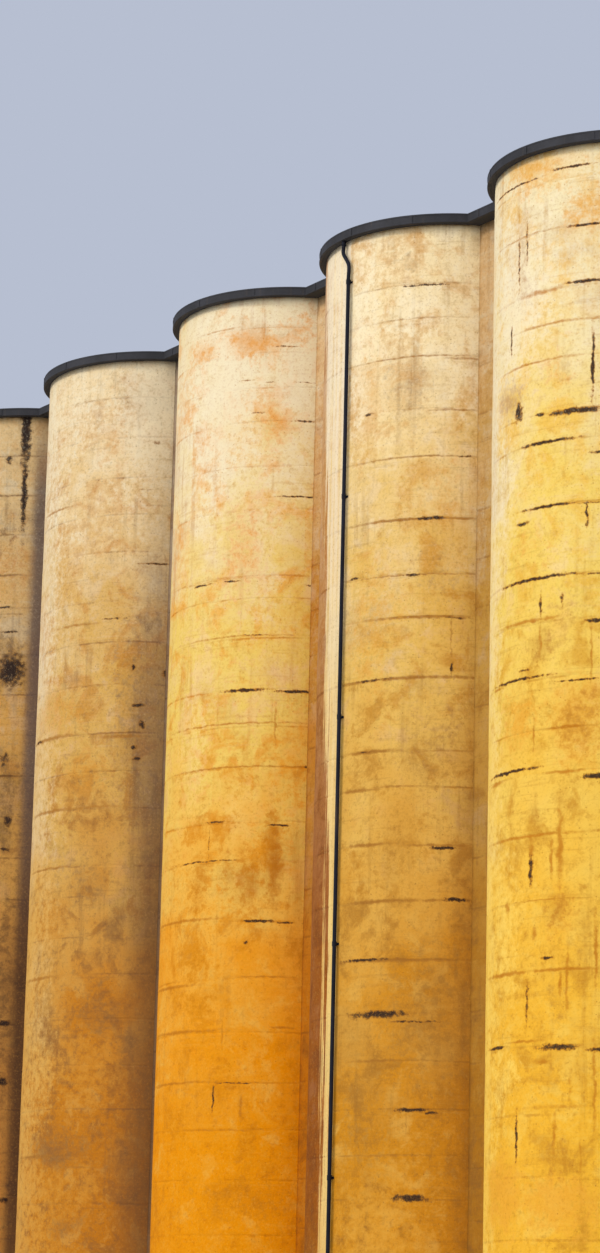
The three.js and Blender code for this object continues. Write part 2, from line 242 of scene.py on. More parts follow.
# The pale strip beside the downpipe, a painted highlight, and the painted shade on the flank left of it,
# low and high up
STRIP_HIGHLIGHT_TONES = ((0.80, 0.59, 0.22), (0.80, 0.68, 0.49))
FLANK_SHADE_TONES = ((0.50, 0.34, 0.6), (0.70, 0.54, 0.52))
# Colours of the rusty strokes, of the dark strokes and of the orange washes
RUST_INK = {
    1: (0.12, 0.05, 0.015),
    2: (0.34, 0.14, 0.022),
    3: (0.42, 0.14, 0.008),
    4: (0.30, 0.12, 0.018),
    5: (0.44, 0.15, 0.008),
}
DARK_INK = (0.020, 0.014, 0.014)
ORANGE_INK = {
    1: (0.46, 0.20, 0.04),
    2: (0.56, 0.25, 0.03),
    3: (0.70, 0.26, 0.003),
    4: (0.64, 0.31, 0.035),
    5: (0.72, 0.33, 0.03),
}

# The photograph is 600 by 1253 pixels. Its camera stands low, off the front right corner.
PHOTO_HEIGHT = 1253
SENSOR = 36.0
FOCAL_PIXELS = 3383.7
CAMERA_AT = Vector((77.008, -49.438, 1.5))
CAMERA_YAW = math.radians(57.145)
CAMERA_RISE = math.radians(12.3605)
CAMERA_ROLL = math.radians(1.3698)


def silo_x(silo):
    return (silo - (SILOS + 1) / 2) * PITCH


def set_camera():
    level = math.cos(CAMERA_RISE)
    ahead = Vector((-math.sin(CAMERA_YAW) * level, math.cos(CAMERA_YAW) * level, math.sin(CAMERA_RISE)))
    flat_right = Vector((math.cos(CAMERA_YAW), math.sin(CAMERA_YAW), 0))
    flat_up = flat_right.cross(ahead)
    right = flat_right * math.cos(CAMERA_ROLL) + flat_up * math.sin(CAMERA_ROLL)
    up = flat_up * math.cos(CAMERA_ROLL) - flat_right * math.sin(CAMERA_ROLL)
    data = bpy.data.cameras.new("camera")
    data.sensor_width = SENSOR
    data.lens = SENSOR * FOCAL_PIXELS / PHOTO_HEIGHT
    data.clip_end = 600
    camera = bpy.data.objects.new("camera", data)
    turn = Matrix((right, up, -ahead)).transposed()
    camera.matrix_world = Matrix.Translation(CAMERA_AT) @ turn.to_4x4()
    scene.collection.objects.link(camera)
    scene.camera = camera


class Graph:
    """Builds one material's nodes, and keeps its base colour as laid so far."""

    def __init__(self, name):
        self.material = bpy.data.materials.new(name)
        self.material.use_nodes = True
        self.tree = self.material.node_tree
        self.shader = self.tree.nodes["Principled BSDF"]
        self.colour = None

    def feed(self, socket, value):
        if isinstance(value, bpy.types.NodeSocket):
            self.tree.links.new(value, socket)
        else:
            socket.default_value = value

    def add(self, kind, sockets, **settings):
        node = self.tree.nodes.new("ShaderNode" + kind)
        for key, value in settings.items():
            setattr(node, key, value)
        for key, value in sockets.items():
            self.feed(node.inputs[key], value)
        return node

    def math(self, operation, first, second=0.0):
        return self.add("Math", {0: first, 1: second}, operation=operation).outputs[0]

    def times(self, first, second):
        return self.math("MULTIPLY", first, second)

    def step(self, value, low, high):
        """Rises smoothly from 0 to 1 as value goes from low to high."""
        sockets = {"Value": value, "From Min": low, "From Max": high}
        return self.add("MapRange", sockets, interpolation_type="SMOOTHSTEP").outputs["Result"]

    def share(self, value, low, high, amount):
        """Rises smoothly from 0 to the amount as value goes from low to high."""
        return self.times(self.step(value, low, high), amount)

    def scaled(self, vector, scale):
        return self.add("VectorMath", {0: vector, 1: scale}, operation="MULTIPLY").outputs[0]

    def noise(self, vector, scale, detail, roughness, distortion=0.0):
        sockets = {"Vector": vector, "Scale": scale, "Detail": detail, "Roughness": roughness,
                   "Distortion": distortion}
        return self.add("TexNoise", sockets).outputs["Fac"]

    def blend(self, share, under, over, mode="MIX"):
        node = self.add("Mix", {}, data_type="RGBA", blend_type=mode)
        self.feed(node.inputs[0], share)
        for index, tone in ((6, under), (7, over)):
            self.feed(node.inputs[index], tone if isinstance(tone, bpy.types.NodeSocket) else (*tone, 1))
        return node.outputs[2]

    def lay(self, share, tone, mode="MIX"):
        """Lays a tone over the colour so far."""
        self.colour = self.blend(share, self.colour, tone, mode)

    def bump(self, height, distance, strength, normal=None):
        sockets = {"Height": height, "Distance": distance, "Strength": strength}
        if normal is not None:
            sockets["Normal"] = normal
        return self.add("Bump", sockets).outputs["Normal"]

    def finish(self, roughness, normal):
        self.feed(self.shader.inputs["Base Color"], self.colour)
        self.feed(self.shader.inputs["Roughness"], roughness)
        self.feed(self.shader.inputs["Normal"], normal)
        return self.material


def concrete(name, tones, silo=None, joints=True):
    """Weathered cast concrete. A silo's number adds the marks laid on its own walls, painted highlights and
    painted shade among them.
    """
    top, middle, foot, shade = tones
    g = Graph(name)
    place = g.add("TexCoord", {}).outputs["Object"]
    height = g.math("DIVIDE", g.add("SeparateXYZ", {0: place}).outputs["Z"], HEIGHT)
    slow = g.noise(place, 0.4, 4, 0.6)
    patch = g.noise(place, 1.1, 6, 0.66, 0.4)
    mid = g.noise(place, 4.5, 5, 0.7)
    fine = g.noise(place, 16.0, 4, 0.7)

    # Broad tone from head to foot, its border broken up by slow blotches
    reach = g.math("ADD", height, g.times(g.math("SUBTRACT", slow, 0.5), 0.55))
    g.colour = g.blend(g.step(reach, 0.24, 0.64), foot, middle)
    g.lay(g.step(reach, 0.62, 0.98), top)
    bright_foot = tuple((low + high) / 2 for low, high in zip(foot, middle))
    deep = tuple(0.35 * low + 0.65 * dark for low, dark in zip(foot, shade))
    cream = tuple(1.03 * max(top) * value for value in (1.0, 0.87, 0.60))
    light = g.blend(g.step(reach, 0.42, 0.98), bright_foot, cream)

    # Blotches of darker and of paler wash, stronger towards the foot
    stain = g.blend(g.step(reach, 0.4, 0.75), deep, foot)
    blotchy = g.math("ADD", g.share(reach, 0.85, 0.4, 0.7), 1.0)
    g.lay(g.times(g.share(patch, 0.5, 0.64, 0.42), blotchy), stain)
    g.lay(g.times(g.share(patch, 0.48, 0.34, 0.5), blotchy), light)
    g.lay(g.share(slow, 0.54, 0.66, 0.24), shade)

    # Faint board marks across, and long narrow rain streaks
    boards = g.noise(g.scaled(place, (0.4, 0.4, 7.0)), 1.0, 5, 0.75)
    g.lay(g.share(boards, 0.54, 0.68, 0.22), shade)
    g.lay(g.share(boards, 0.46, 0.34, 0.22), light)
    streak = g.noise(g.scaled(place, (3.4, 3.4, 0.2)), 1.0, 4, 0.6)
    rain = g.times(g.step(streak, 0.52, 0.7), g.step(slow, 0.38, 0.6))
    g.lay(g.times(rain, 0.4), shade)

    # Mottle at hand size
    g.lay(g.times(g.share(mid, 0.52, 0.68, 0.2), blotchy), shade)
    g.lay(g.times(g.share(mid, 0.48, 0.32, 0.24), blotchy), light)

    if joints:
        wall = g.add("UVMap", {}, uv_map="wall").outputs["UV"]
        pour_joints(g, place, wall, shade, foot, mid)
    if silo is not None:
        # Tone of the pale washes and of the painted highlights
        glow = tuple(1.12 * value for value in middle)
        pale = g.blend(g.step(reach, 0.35, 0.85), glow, cream)
        lay_marks(g, place, silo, shade, pale, mid)

    # Close speckle, and small air holes
    g.lay(g.share(fine, 0.5, 0.72, 0.3), shade)
    g.lay(g.share(fine, 0.48, 0.3, 0.26), light)
    cells = g.add("TexVoronoi", {"Vector": place, "Scale": 9.0})
    pick = g.add("SeparateXYZ", {0: cells.outputs["Color"]}).outputs["X"]
    holes = g.times(g.step(cells.outputs["Distance"], 0.2, 0.07), g.step(pick, 0.6, 0.8))
    g.lay(g.times(holes, 0.5), shade)

    grain = g.math("SUBTRACT", fine, g.times(holes, 0.8))
    normal = g.bump(grain, 0.008, 0.8, g.bump(mid, 0.012, 0.5))
    roughness = g.add("MapRange", {"Value": fine, "To Min": 0.8, "To Max": 1.0}).outputs["Result"]
    g.shader.inputs["Specular IOR Level"].default_value = 0.05
    return g.finish(roughness, normal)


def pour_joints(g, place, wall, shade, foot, mid):
    """Form panels and pour joints, by the wall's own coordinates: round it, and in lifts."""
    apart_ways = g.add("SeparateXYZ", {0: wall})
    round_way, lift = apart_ways.outputs["X"], apart_ways.outputs["Y"]

    # Some form panels cast a shade of their own
    across = g.math("DIVIDE", round_way, PANEL_WIDTH)
    cell = g.add("CombineXYZ", {0: g.math("FLOOR", across), 1: g.math("FLOOR", lift)})
    chance = g.add("TexWhiteNoise", {"Vector": cell.outputs[0]}, noise_dimensions="2D").outputs["Value"]
    panel = g.times(g.step(chance, 0.66, 0.95), g.step(mid, 0.36, 0.6))
    g.lay(g.times(panel, 0.26), foot)

    # A thin brown line that comes and goes, with a faint stain run below it
    wobble = g.times(g.math("SUBTRACT", mid, 0.5), 0.07)
    apart = g.math("PINGPONG", g.math("ADD", lift, wobble), 0.5)
    ring = g.math("FLOOR", g.math("ADD", lift, 0.5))
    along = g.add("CombineXYZ", {0: round_way, 1: g.times(ring, 7.3)}).outputs[0]
    dash = g.noise(g.scaled(along, (1.1, 1, 1)), 0.6, 4, 0.75)
    line = g.times(g.step(apart, 0.03, 0.012), g.step(dash, 0.45, 0.64))
    g.lay(g.times(line, 0.6), shade)
    halo = g.times(g.step(apart, 0.1, 0.0), g.step(dash, 0.5, 0.7))
    g.lay(g.times(halo, 0.3), foot)
    drips = g.noise(g.scaled(place, (6, 6, 0.3)), 1.0, 3, 0.6)
    run = g.times(g.step(g.math("FRACT", lift), 0.35, 1.0), g.step(drips, 0.5, 0.68))
    run = g.times(run, g.step(dash, 0.5, 0.62))
    g.lay(g.times(run, 0.3), shade)


def moved(g, wall, cloud, reach):
    """The wall's coordinates, pushed about by a noise colour over at most the given reach."""
    centred = g.add("VectorMath", {0: cloud, 1: (0.5, 0.5, 0.5)}, operation="SUBTRACT").outputs[0]
    sockets = {0: centred, 1: (*reach, 0), 2: wall}
    return g.add("VectorMath", sockets, operation="MULTIPLY_ADD").outputs[0]


def ovals(g, wall, marks, fray):
    """How strongly each point of the wall is covered by the nearest of some oval marks."""
    nearest = 9.0
    for start, stop, low, high, strength in marks:
        across = math.radians(stop - start) / 2 * RADIUS
        up = (high - low) / 2
        middle = (math.radians((start + stop) / 2 + 90) * RADIUS, (low + high) / 2)
        # The third coordinate keeps a weaker mark away from its full strength
        spread = (1 / across, 1 / up, 0)
        shift = (-middle[0] / across, -middle[1] / up, 1.5 * (1 - strength))
        spot = g.add("VectorMath", {0: wall, 1: spread, 2: shift}, operation="MULTIPLY_ADD").outputs[0]
        away = g.add("VectorMath", {0: spot}, operation="LENGTH").outputs["Value"]
        nearest = g.math("MINIMUM", away, nearest)
    return g.step(g.math("ADD", nearest, fray), 1.4, 0.25)


def lay_marks(g, place, silo, shade, pale, mid):
    """Lays washes and strokes on one silo, grime with painted shade in the valleys beside it, and on the
    downpipe's silo a painted highlight and painted shade by the pipe.
    """
    round_way = g.add("SeparateXYZ", {0: g.add("UVMap", {}, uv_map="wall").outputs["UV"]}).outputs["X"]
    height = g.add("SeparateXYZ", {0: place}).outputs["Z"]
    # The back of a silo is marked as its front is
    half = math.pi / 2 * RADIUS
    marked_way = g.add("Math", {0: round_way, 1: half, 2: -half}, operation="WRAP").outputs[0]
    wall = g.add("CombineXYZ", {0: marked_way, 1: height}).outputs[0]
    cloud = g.add("TexNoise", {"Vector": place, "Scale": 0.9, "Detail": 4.0, "Roughness": 0.7})
    mottle = g.times(g.math("SUBTRACT", mid, 0.5), 4.5)
    broad = moved(g, wall, cloud.outputs["Color"], (1.6, 1.6))
    washes = [
        # Pale washes, some of them painted highlights along the left edges
        (PALE_WASHES_AND_HIGHLIGHTS, pale, 0.65),
        (ORANGE_WASHES, ORANGE_INK[silo], 0.75),
        (BROWN_WASHES_AND_SHADE, shade, 0.65),
    ]
    for marks, tone, amount in washes:
        if marks[silo]:
            share = ovals(g, broad, marks[silo], g.times(mottle, amount))
            g.lay(g.times(share, amount), tone)

    # How far a point lies towards the valley on its right or left, by the sine of its turn
    towards = g.math("SINE", g.math("DIVIDE", round_way, RADIUS))
    start, stop, strength, full_at = VALLEY_GRIME_AND_SHADE[silo]
    deep = g.step(towards, start, stop)
    # The left border, by the valley on that side, gets the same grime and painted shade
    if silo > 1:
        left = g.step(g.times(towards, -1.0), 0.86, 0.97)
        deep = g.math("MAXIMUM", deep, left)
    if silo == PIPE_SILO:
        # Painted shade runs down the left flank as far as a ragged slanting edge, and the wall from
        # there to the downpipe carries a pale painted highlight
        runs = g.noise(g.scaled(place, (5, 5, 0.12)), 1.0, 4, 0.7)
        slant = g.times(g.math("MAXIMUM", height, 14.0), 0.065)
        slant = g.math("ADD", g.math("ADD", round_way, slant), g.times(runs, 2.0))
        slant = g.math("ADD", slant, g.times(mottle, 0.05))
        # Both fade near the foot
        fade = g.math("ADD", g.share(height, 0.5, 6.0, 0.7), 0.3)
        highlight_strip = g.times(g.step(slant, 1.40, 1.58), g.step(round_way, 0.17, 0.12))
        highlight_strip = g.times(highlight_strip, fade)
        highlight_strip = g.times(highlight_strip, g.step(runs, 0.75, 0.45))
        highlight_tone = g.blend(g.step(height, 12, 26), *STRIP_HIGHLIGHT_TONES)
        g.lay(g.times(highlight_strip, 0.78), highlight_tone)
        left_end = g.math("ADD", round_way, g.times(runs, 3.0))
        flank_shade = g.times(g.step(slant, 1.58, 1.40), g.step(left_end, -1.5, -0.3))
        flank_shade = g.times(flank_shade, g.share(mottle, -2.4, -0.2, fade))
        flank_shade_tone = g.blend(g.step(height, 12, 25), *FLANK_SHADE_TONES)
        g.lay(flank_shade, flank_shade_tone, "MULTIPLY")
    # The grime and painted shade thin out towards the roof
    strength = g.share(height, 31, full_at, strength)
    frayed = g.math("ADD", deep, g.times(mottle, g.times(deep, 0.12)))
    grime_and_shade = g.blend(g.step(height, 12, 20), shade, GREY_GRIME_AND_SHADE) if silo < 3 else shade
    g.lay(g.share(frayed, 0.0, 1.0, strength), grime_and_shade)
    foot_dirt = g.share(g.math("ADD", height, mottle), 0.9, 0.0, 0.6)
    g.lay(foot_dirt, shade)

    ripple = g.add("TexNoise", {"Vector": place, "Scale": 3.5, "Detail": 4.0, "Roughness": 0.7})
    fine_wall = moved(g, wall, ripple.outputs["Color"], (0.18, 0.11))
    fray = g.times(g.math("SUBTRACT", g.noise(place, 8.0, 5, 0.8), 0.5), 3.2)
    rust = ovals(g, fine_wall, RUST_STROKES[silo], fray)
    g.lay(g.times(rust, 0.8), RUST_INK[silo])
    # A dark stroke has a rusty rim
    dark = ovals(g, fine_wall, DARK_STROKES[silo], fray)
    g.lay(g.share(dark, 0.0, 0.5, 0.7), RUST_INK[silo])
    g.lay(g.share(dark, 0.25, 0.9, 0.95), DARK_INK)


def roof_concrete():
    """A grey deck with a sealed joint between bays, dirt along its edge and painted shade on its underside.
    """
    g = Graph("roof_deck")
    place = g.add("TexCoord", {}).outputs["Object"]
    apart = g.add("SeparateXYZ", {0: place})
    slow = g.noise(place, 0.5, 6, 0.6, 0.4)
    patch = g.noise(place, 1.8, 7, 0.74, 0.3)
    fine = g.noise(place, 22.0, 5, 0.7)
    g.colour = g.blend(g.step(slow, 0.33, 0.67), (0.20, 0.19, 0.17), (0.33, 0.315, 0.28))
    g.lay(g.share(patch, 0.5, 0.64, 0.7), (0.12, 0.11, 0.095))
    g.lay(g.share(patch, 0.46, 0.3, 0.4), (0.40, 0.375, 0.33))
    ponded = g.noise(place, 0.7, 6, 0.6, 0.8)
    g.lay(g.share(ponded, 0.56, 0.6, 0.3), (0.12, 0.11, 0.095))
    rim = g.times(g.step(ponded, 0.54, 0.56), g.step(ponded, 0.60, 0.57))
    g.lay(g.times(rim, 0.3), (0.44, 0.42, 0.37))

    # A bay's own coordinates, from its silo's axis
    bay_way = g.add("Math", {0: apart.outputs["X"], 1: PITCH / 2, 2: -PITCH / 2}, operation="WRAP")
    across = g.math("ABSOLUTE", bay_way.outputs[0])
    back_way = g.math("ABSOLUTE", apart.outputs["Y"])
    joint = g.share(across, PITCH / 2 - 0.06, PITCH / 2 - 0.03, 0.8)
    g.lay(joint, (0.03, 0.028, 0.026))
    spill = g.times(g.step(across, PITCH / 2 - 0.5, PITCH / 2), g.step(patch, 0.4, 0.62))
    g.lay(g.times(spill, 0.5), (0.09, 0.082, 0.072))

    # Dirt gathers inside the edge, which runs round each silo but not from bay to bay
    spot = g.add("CombineXYZ", {0: across, 1: back_way}).outputs[0]
    from_axis = g.add("VectorMath", {0: spot}, operation="LENGTH").outputs["Value"]
    at_end = g.step(g.math("ABSOLUTE", apart.outputs["X"]), silo_x(SILOS) + 1, silo_x(SILOS) + 2)
    at_edge = g.math("MAXIMUM", g.step(back_way, 1.3, 1.7), at_end)
    dirt = g.times(g.step(from_axis, RADIUS - 0.6, RADIUS + OVERHANG), at_edge)
    dirt = g.times(dirt, g.step(patch, 0.3, 0.6))
    g.lay(g.times(dirt, 0.85), (0.065, 0.06, 0.045))
    g.lay(g.share(fine, 0.45, 0.7, 0.3), (0.46, 0.43, 0.38))
    # The underside and edges are painted as dark as the edge band, as painted shade under the overhang
    facing = g.add("SeparateXYZ", {0: g.add("NewGeometry", {}).outputs["Normal"]}).outputs["Z"]
    g.lay(g.step(facing, 0.5, 0.1), (0.022, 0.021, 0.022))
    return g.finish(0.9, g.bump(fine, 0.006, 0.7, g.bump(patch, 0.01, 0.4)))


def dark_coating(name, base, worn, roughness, gloss):
    g = Graph(name)
    g.shader.inputs["Specular IOR Level"].default_value = gloss
    place = g.add("TexCoord", {}).outputs["Object"]
    slow = g.noise(place, 1.6, 6, 0.65)
    fine = g.noise(place, 38.0, 5, 0.75)
    g.colour = g.blend(g.step(slow, 0.35, 0.7), base, tuple(value * 1.9 for value in base))
    g.lay(g.share(fine, 0.55, 0.72, 0.5), worn)
    run = g.noise(g.scaled(place, (9, 9, 0.5)), 1.0, 4, 0.6)
    g.lay(g.share(run, 0.58, 0.75, 0.3), (0.12, 0.08, 0.05))
    rough = g.add("MapRange", {"Value": fine, "To Min": roughness - 0.12, "To Max": roughness + 0.15})
    return g.finish(rough.outputs["Result"], g.bump(fine, 0.003, 0.6))


def pale_floor():
    g = Graph("pale_floor")
    place = g.add("TexCoord", {}).outputs["Object"]
    slow = g.noise(place, 0.05, 3, 0.5)
    g.colour = g.blend(slow, (0.62, 0.61, 0.60), (0.68, 0.67, 0.66))
    return g.finish(0.85, g.bump(g.noise(place, 8.0, 3, 0.5), 0.002, 0.3))


def add_object(name, mesh, material):
    mesh.materials.append(material)
    piece = bpy.data.objects.new(name, mesh)
    scene.collection.objects.link(piece)
    return piece


def add_piece(name, mesh, material, slot, *nodes):
    piece = add_object(name, mesh, material)
    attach(piece, "root")
    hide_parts(*nodes)


def wall_rows(joints):
    """Heights of a wall's rows, close together at each joint, with their lift coordinate."""
    near = (-JOINT_REACH, -LIP_REACH, -0.02, 0.0, 0.02, LIP_REACH, JOINT_REACH)
    borders = [HEIGHT, *joints, 0.0]
    heights = [HEIGHT]
    for upper, lower in zip(borders, borders[1:]):
        start = upper - JOINT_REACH if upper < HEIGHT else upper
        stop = lower + JOINT_REACH if lower > 0 else lower
        if upper < HEIGHT:
            heights += [upper + gap for gap in near]
        count = max(1, math.ceil((start - stop) / ROW_SPACING))
        heights += [start + (stop - start) * step / count for step in range(1, count)]
    heights.append(0.0)
    heights = np.unique(np.round(np.array(heights), 5))
    known = np.array(sorted(borders))
    return heights, np.interp(heights, known, np.arange(len(known)))


def relief(silo, degrees, heights, lifts):
    """How far each point of a wall stands out from the true cylinder."""
    source = random.Random(40 + silo)
    offsets = np.array([source.uniform(-0.003, 0.003) for _ in range(60)])
    out = np.zeros((len(heights), len(degrees)))
    turn = np.radians(degrees)
    for row, (height, lift) in enumerate(zip(heights, lifts)):
        gap = abs(lift - round(lift)) * LIFT
        groove = -GROOVE_DEPTH * max(0.0, 1 - gap / GROOVE_REACH)
        lip = LIP_HEIGHT * max(0.0, 1 - abs(gap - LIP_REACH) / LIP_REACH)
        for column, angle in enumerate(turn):
            around = Vector((math.cos(angle) * 2.2, math.sin(angle) * 2.2, height * 0.5 + silo * 9))
            broad = noise.noise(around) * 0.004
            local = 0.45 + 1.3 * noise.noise(Vector((angle * 4, silo * 3.1, round(lift) * 1.7)))
            out[row, column] = broad + (groove + lip) * min(1.3, max(0.0, local))
    return out + offsets[np.floor(lifts).astype(int)][:, None]


def sheet_mesh(name, outer, inner, lifts, ways):
    """A closed wall: a grid of outer points, and an inner face of just a low and a high row."""
    rows, columns = outer.shape[:2]
    points = np.concatenate([outer.reshape(-1, 3), inner.reshape(-1, 3)])
    at = np.arange(rows * columns).reshape(rows, columns)
    low_in = rows * columns + np.arange(columns)
    high_in = low_in + columns
    faces = []
    for low_row, high_row in zip(at, at[1:]):
        faces += zip(low_row[:-1], low_row[1:], high_row[1:], high_row[:-1])
    shown = len(faces)
    faces += zip(low_in[1:], low_in[:-1], high_in[:-1], high_in[1:])
    faces += zip(at[0][1:], at[0][:-1], low_in[:-1], low_in[1:])
    faces += zip(at[-1][:-1], at[-1][1:], high_in[1:], high_in[:-1])
    faces.append((*at[:, 0], high_in[0], low_in[0]))
    faces.append((*at[::-1, -1], low_in[-1], high_in[-1]))
    mesh = bpy.data.meshes.new(name)
    mesh.from_pydata(points.tolist(), [], [tuple(int(i) for i in face) for face in faces])
    smooth = np.zeros(len(mesh.polygons), dtype=bool)
    smooth[:shown] = True
    mesh.polygons.foreach_set("use_smooth", smooth)

    corner = np.zeros(len(mesh.loops), dtype=np.int32)
    mesh.loops.foreach_get("vertex_index", corner)
    levels = np.append(lifts, lifts[[0, -1]])
    flat = np.stack(np.meshgrid(ways, levels), axis=-1).reshape(-1, 2)
    mesh.uv_layers.new(name="wall").data.foreach_set("uv", flat[corner].ravel())
    mesh.update()
    return mesh


def half_skin(silo, side, columns, material):
    start = -180 if side == "front" else 0
    degrees = np.linspace(start, start + 180, columns + 1)
    heights, lifts = wall_rows(JOINTS[silo])
    out = relief(silo, degrees, heights, lifts)
    turn = np.radians(degrees)
    around = np.stack([np.cos(turn), np.sin(turn)], axis=-1)
    shift = np.array([silo_x(silo), -PIECE_GAP / 2 if side == "front" else PIECE_GAP / 2])

    outer = np.zeros((len(heights), len(degrees), 3))
    outer[..., :2] = around[None] * (RADIUS + out)[..., None] + shift
    outer[..., 2] = heights[:, None]
    inner = np.zeros((2, len(degrees), 3))
    inner[..., :2] = around * (RADIUS - WALL) + shift
    inner[1, :, 2] = HEIGHT

    ways = np.radians(degrees + 90) * RADIUS
    name = f"silo_{silo}_{side}"
    mesh = sheet_mesh(name + "_skin", outer, inner, lifts, ways)
    add_piece(name + "_skin", mesh, material, f"concrete_{silo}", name + "_shell")


def link_skin(valley, side, material):
    face = RADIUS * math.sin(math.radians(LINK_DEGREES))
    reach = PITCH / 2 - RADIUS * math.cos(math.radians(LINK_DEGREES))
    middle = silo_x(valley) + PITCH / 2
    sign = -1 if side == "front" else 1
    span = np.linspace(-reach, reach, LINK_COLUMNS) * -sign
    heights, lifts = wall_rows(LINK_JOINTS)
    outer = np.zeros((len(heights), len(span), 3))
    for row, (height, lift) in enumerate(zip(heights, lifts)):
        gap = abs(lift - round(lift)) * LIFT
        groove = GROOVE_DEPTH * max(0.0, 1 - gap / GROOVE_REACH)
        for column, way in enumerate(span):
            wave = 0.003 * noise.noise(Vector((way * 2, height * 0.7, valley * 5 + sign)))
            outer[row, column] = (middle + way, sign * (face - groove + wave), height)
    inner = np.zeros((2, len(span), 3))
    inner[..., 0] = middle + span
    inner[..., 1] = sign * (face - WALL)
    inner[1, :, 2] = HEIGHT
    mesh = sheet_mesh(f"link_{side}_{valley}", outer, inner, lifts, span)
    add_piece(f"link_{side}_{valley}_skin", mesh, material, "concrete_plain",
              f"link_wall_{side}_{valley}")


def solid_mesh(name, parts):
    """One mesh from closed bodies, each a list of points and a list of faces."""
    points = []
    faces = []
    for body_points, body_faces in parts:
        base = len(points)
        points += [tuple(point) for point in body_points]
        faces += [tuple(base + index for index in face) for face in body_faces]
    mesh = bpy.data.meshes.new(name)
    mesh.from_pydata(points, [], faces)
    mesh.polygons.foreach_set("use_smooth", [True] * len(faces))
    mesh.set_sharp_from_angle(angle=math.radians(SHARP_DEGREES))
    mesh.update()
    return mesh


def roof_path(from_degrees, to_degrees):
    """The roof's outer line round one silo, from the middle of a valley to that of another."""
    radius = RADIUS + OVERHANG
    depth = radius * math.sin(math.radians(VALLEY_DEGREES))
    corner = radius * math.cos(math.radians(VALLEY_DEGREES))
    end = PITCH / 2 - PIECE_GAP / 2
    straights = []
    for degrees in (from_degrees, to_degrees):
        side = math.copysign(1, math.cos(math.radians(degrees)))
        face = math.copysign(depth, math.sin(math.radians(degrees)))
        straights.append([(side * (end + (corner - end) * step / 4), face) for step in range(4)])
    steps = round((to_degrees - from_degrees) / EDGE_TURN)
    arc = []
    for step in range(steps + 1):
        turn = math.radians(from_degrees + (to_degrees - from_degrees) * step / steps)
        arc.append((radius * math.cos(turn), radius * math.sin(turn)))
    return [Vector(point) for point in (*straights[0], *arc, *straights[1][::-1])]


def sleeve_faces(rings, size):
    """Faces of a closed sleeve made of rings of points, with a cap at each end."""
    faces = []
    for ring in range(rings - 1):
        low = ring * size
        high = low + size
        for index in range(size):
            after = (index + 1) % size
            faces.append((low + index, low + after, high + after, high + index))
    last = (rings - 1) * size
    faces.append(tuple(range(size))[::-1])
    faces.append(tuple(range(last, last + size)))
    return faces


def swept_edge(path, profile, shift):
    """A closed band along path. profile gives its section as inset from the line and height."""
    outward = []
    for index, point in enumerate(path):
        before = point - path[index - 1] if index else path[1] - point
        after = path[index + 1] - point if index < len(path) - 1 else before
        sides = [Vector((way.y, -way.x)).normalized() for way in (before, after)]
        middle = (sides[0] + sides[1]).normalized()
        outward.append(middle / max(0.3, middle.dot(sides[0])))
    points = []
    for point, way in zip(path, outward):
        for inset, height in profile:
            spot = point - way * inset
            points.append((spot.x + shift, spot.y, ROOF_BASE + height))
    return points, sleeve_faces(len(path), len(profile))


def cover_strips(path, shift):
    """Strips that cover the joints between the lengths of the edge band."""
    run = 0.0
    due = STRIP_SPACING / 2
    strips = []
    for start, stop in zip(path, path[1:]):
        way = stop - start
        length = way.length
        if due <= run + length and length > 0:
            along = way / length
            out = Vector((along.y, -along.x))
            middle = start + along * (due - run)
            section = [(-0.006, 0.012), (-0.006, EDGE_HEIGHT - 0.012), (0.02, EDGE_HEIGHT - 0.004),
                       (0.02, 0.004)]
            points = []
            for side in (-STRIP_WIDTH / 2, STRIP_WIDTH / 2):
                for inset, height in section:
                    spot = middle + along * side - out * (inset + BEAD_INSET)
                    points.append((spot.x + shift, spot.y, ROOF_BASE + height))
            faces = [(0, 1, 2, 3), (7, 6, 5, 4)]
            faces += [(n, n + 4, (n + 1) % 4 + 4, (n + 1) % 4) for n in range(4)]
            strips.append((points, faces))
            due += STRIP_SPACING
        run += length
    return strips


# Section of the edge band, as insets from the roof's outer line and heights above its base
EDGE_PROFILE = [
    (EDGE_THICKNESS, 0.000), (0.016, 0.000), (0.008, 0.003), (BEAD_INSET, 0.010), (BEAD_INSET, 0.026),
    (0.014, 0.036), (0.014, EDGE_HEIGHT - 0.05), (BEAD_INSET, EDGE_HEIGHT - 0.042),
    (BEAD_INSET, EDGE_HEIGHT - 0.016), (0.010, EDGE_HEIGHT - 0.006), (0.020, EDGE_HEIGHT),
    (0.070, EDGE_HEIGHT), (EDGE_THICKNESS, EDGE_HEIGHT - 0.006),
]


def roof_edge(name, node, silo, span, material):
    path = roof_path(*span)
    shift = silo_x(silo)
    parts = [swept_edge(path, EDGE_PROFILE, shift), *cover_strips(path, shift)]
    add_piece(name, solid_mesh(name, parts), material, "roof_edge", node)


# Downpipe on the front of silo 4
PIPE_TURN = math.radians(-87)
PIPE_RADIUS = 0.05
PIPE_STANDOFF = 0.09
SOCKET_RADIUS = 0.062
FOOT_RADIUS = 0.066
LUG_HALF = 0.028
NECK_SHIFT = 0.23
NECK_LENGTH = 1.1
FOOT_HEIGHT = 0.4
PIPE_LENGTHS = 5
PIPE_SIDES = 32
NECK_STEPS = 10
PIPE_OUT = Vector((math.cos(PIPE_TURN), math.sin(PIPE_TURN), 0))
PIPE_SIDE = Vector((-PIPE_OUT.y, PIPE_OUT.x, 0))
PIPE_AXIS = Vector((silo_x(PIPE_SILO), 0, 0)) + PIPE_OUT * (RADIUS + PIPE_STANDOFF)


def pipe_place(side, out, height):
    return PIPE_AXIS + PIPE_SIDE * side + PIPE_OUT * out + Vector((0, 0, height))


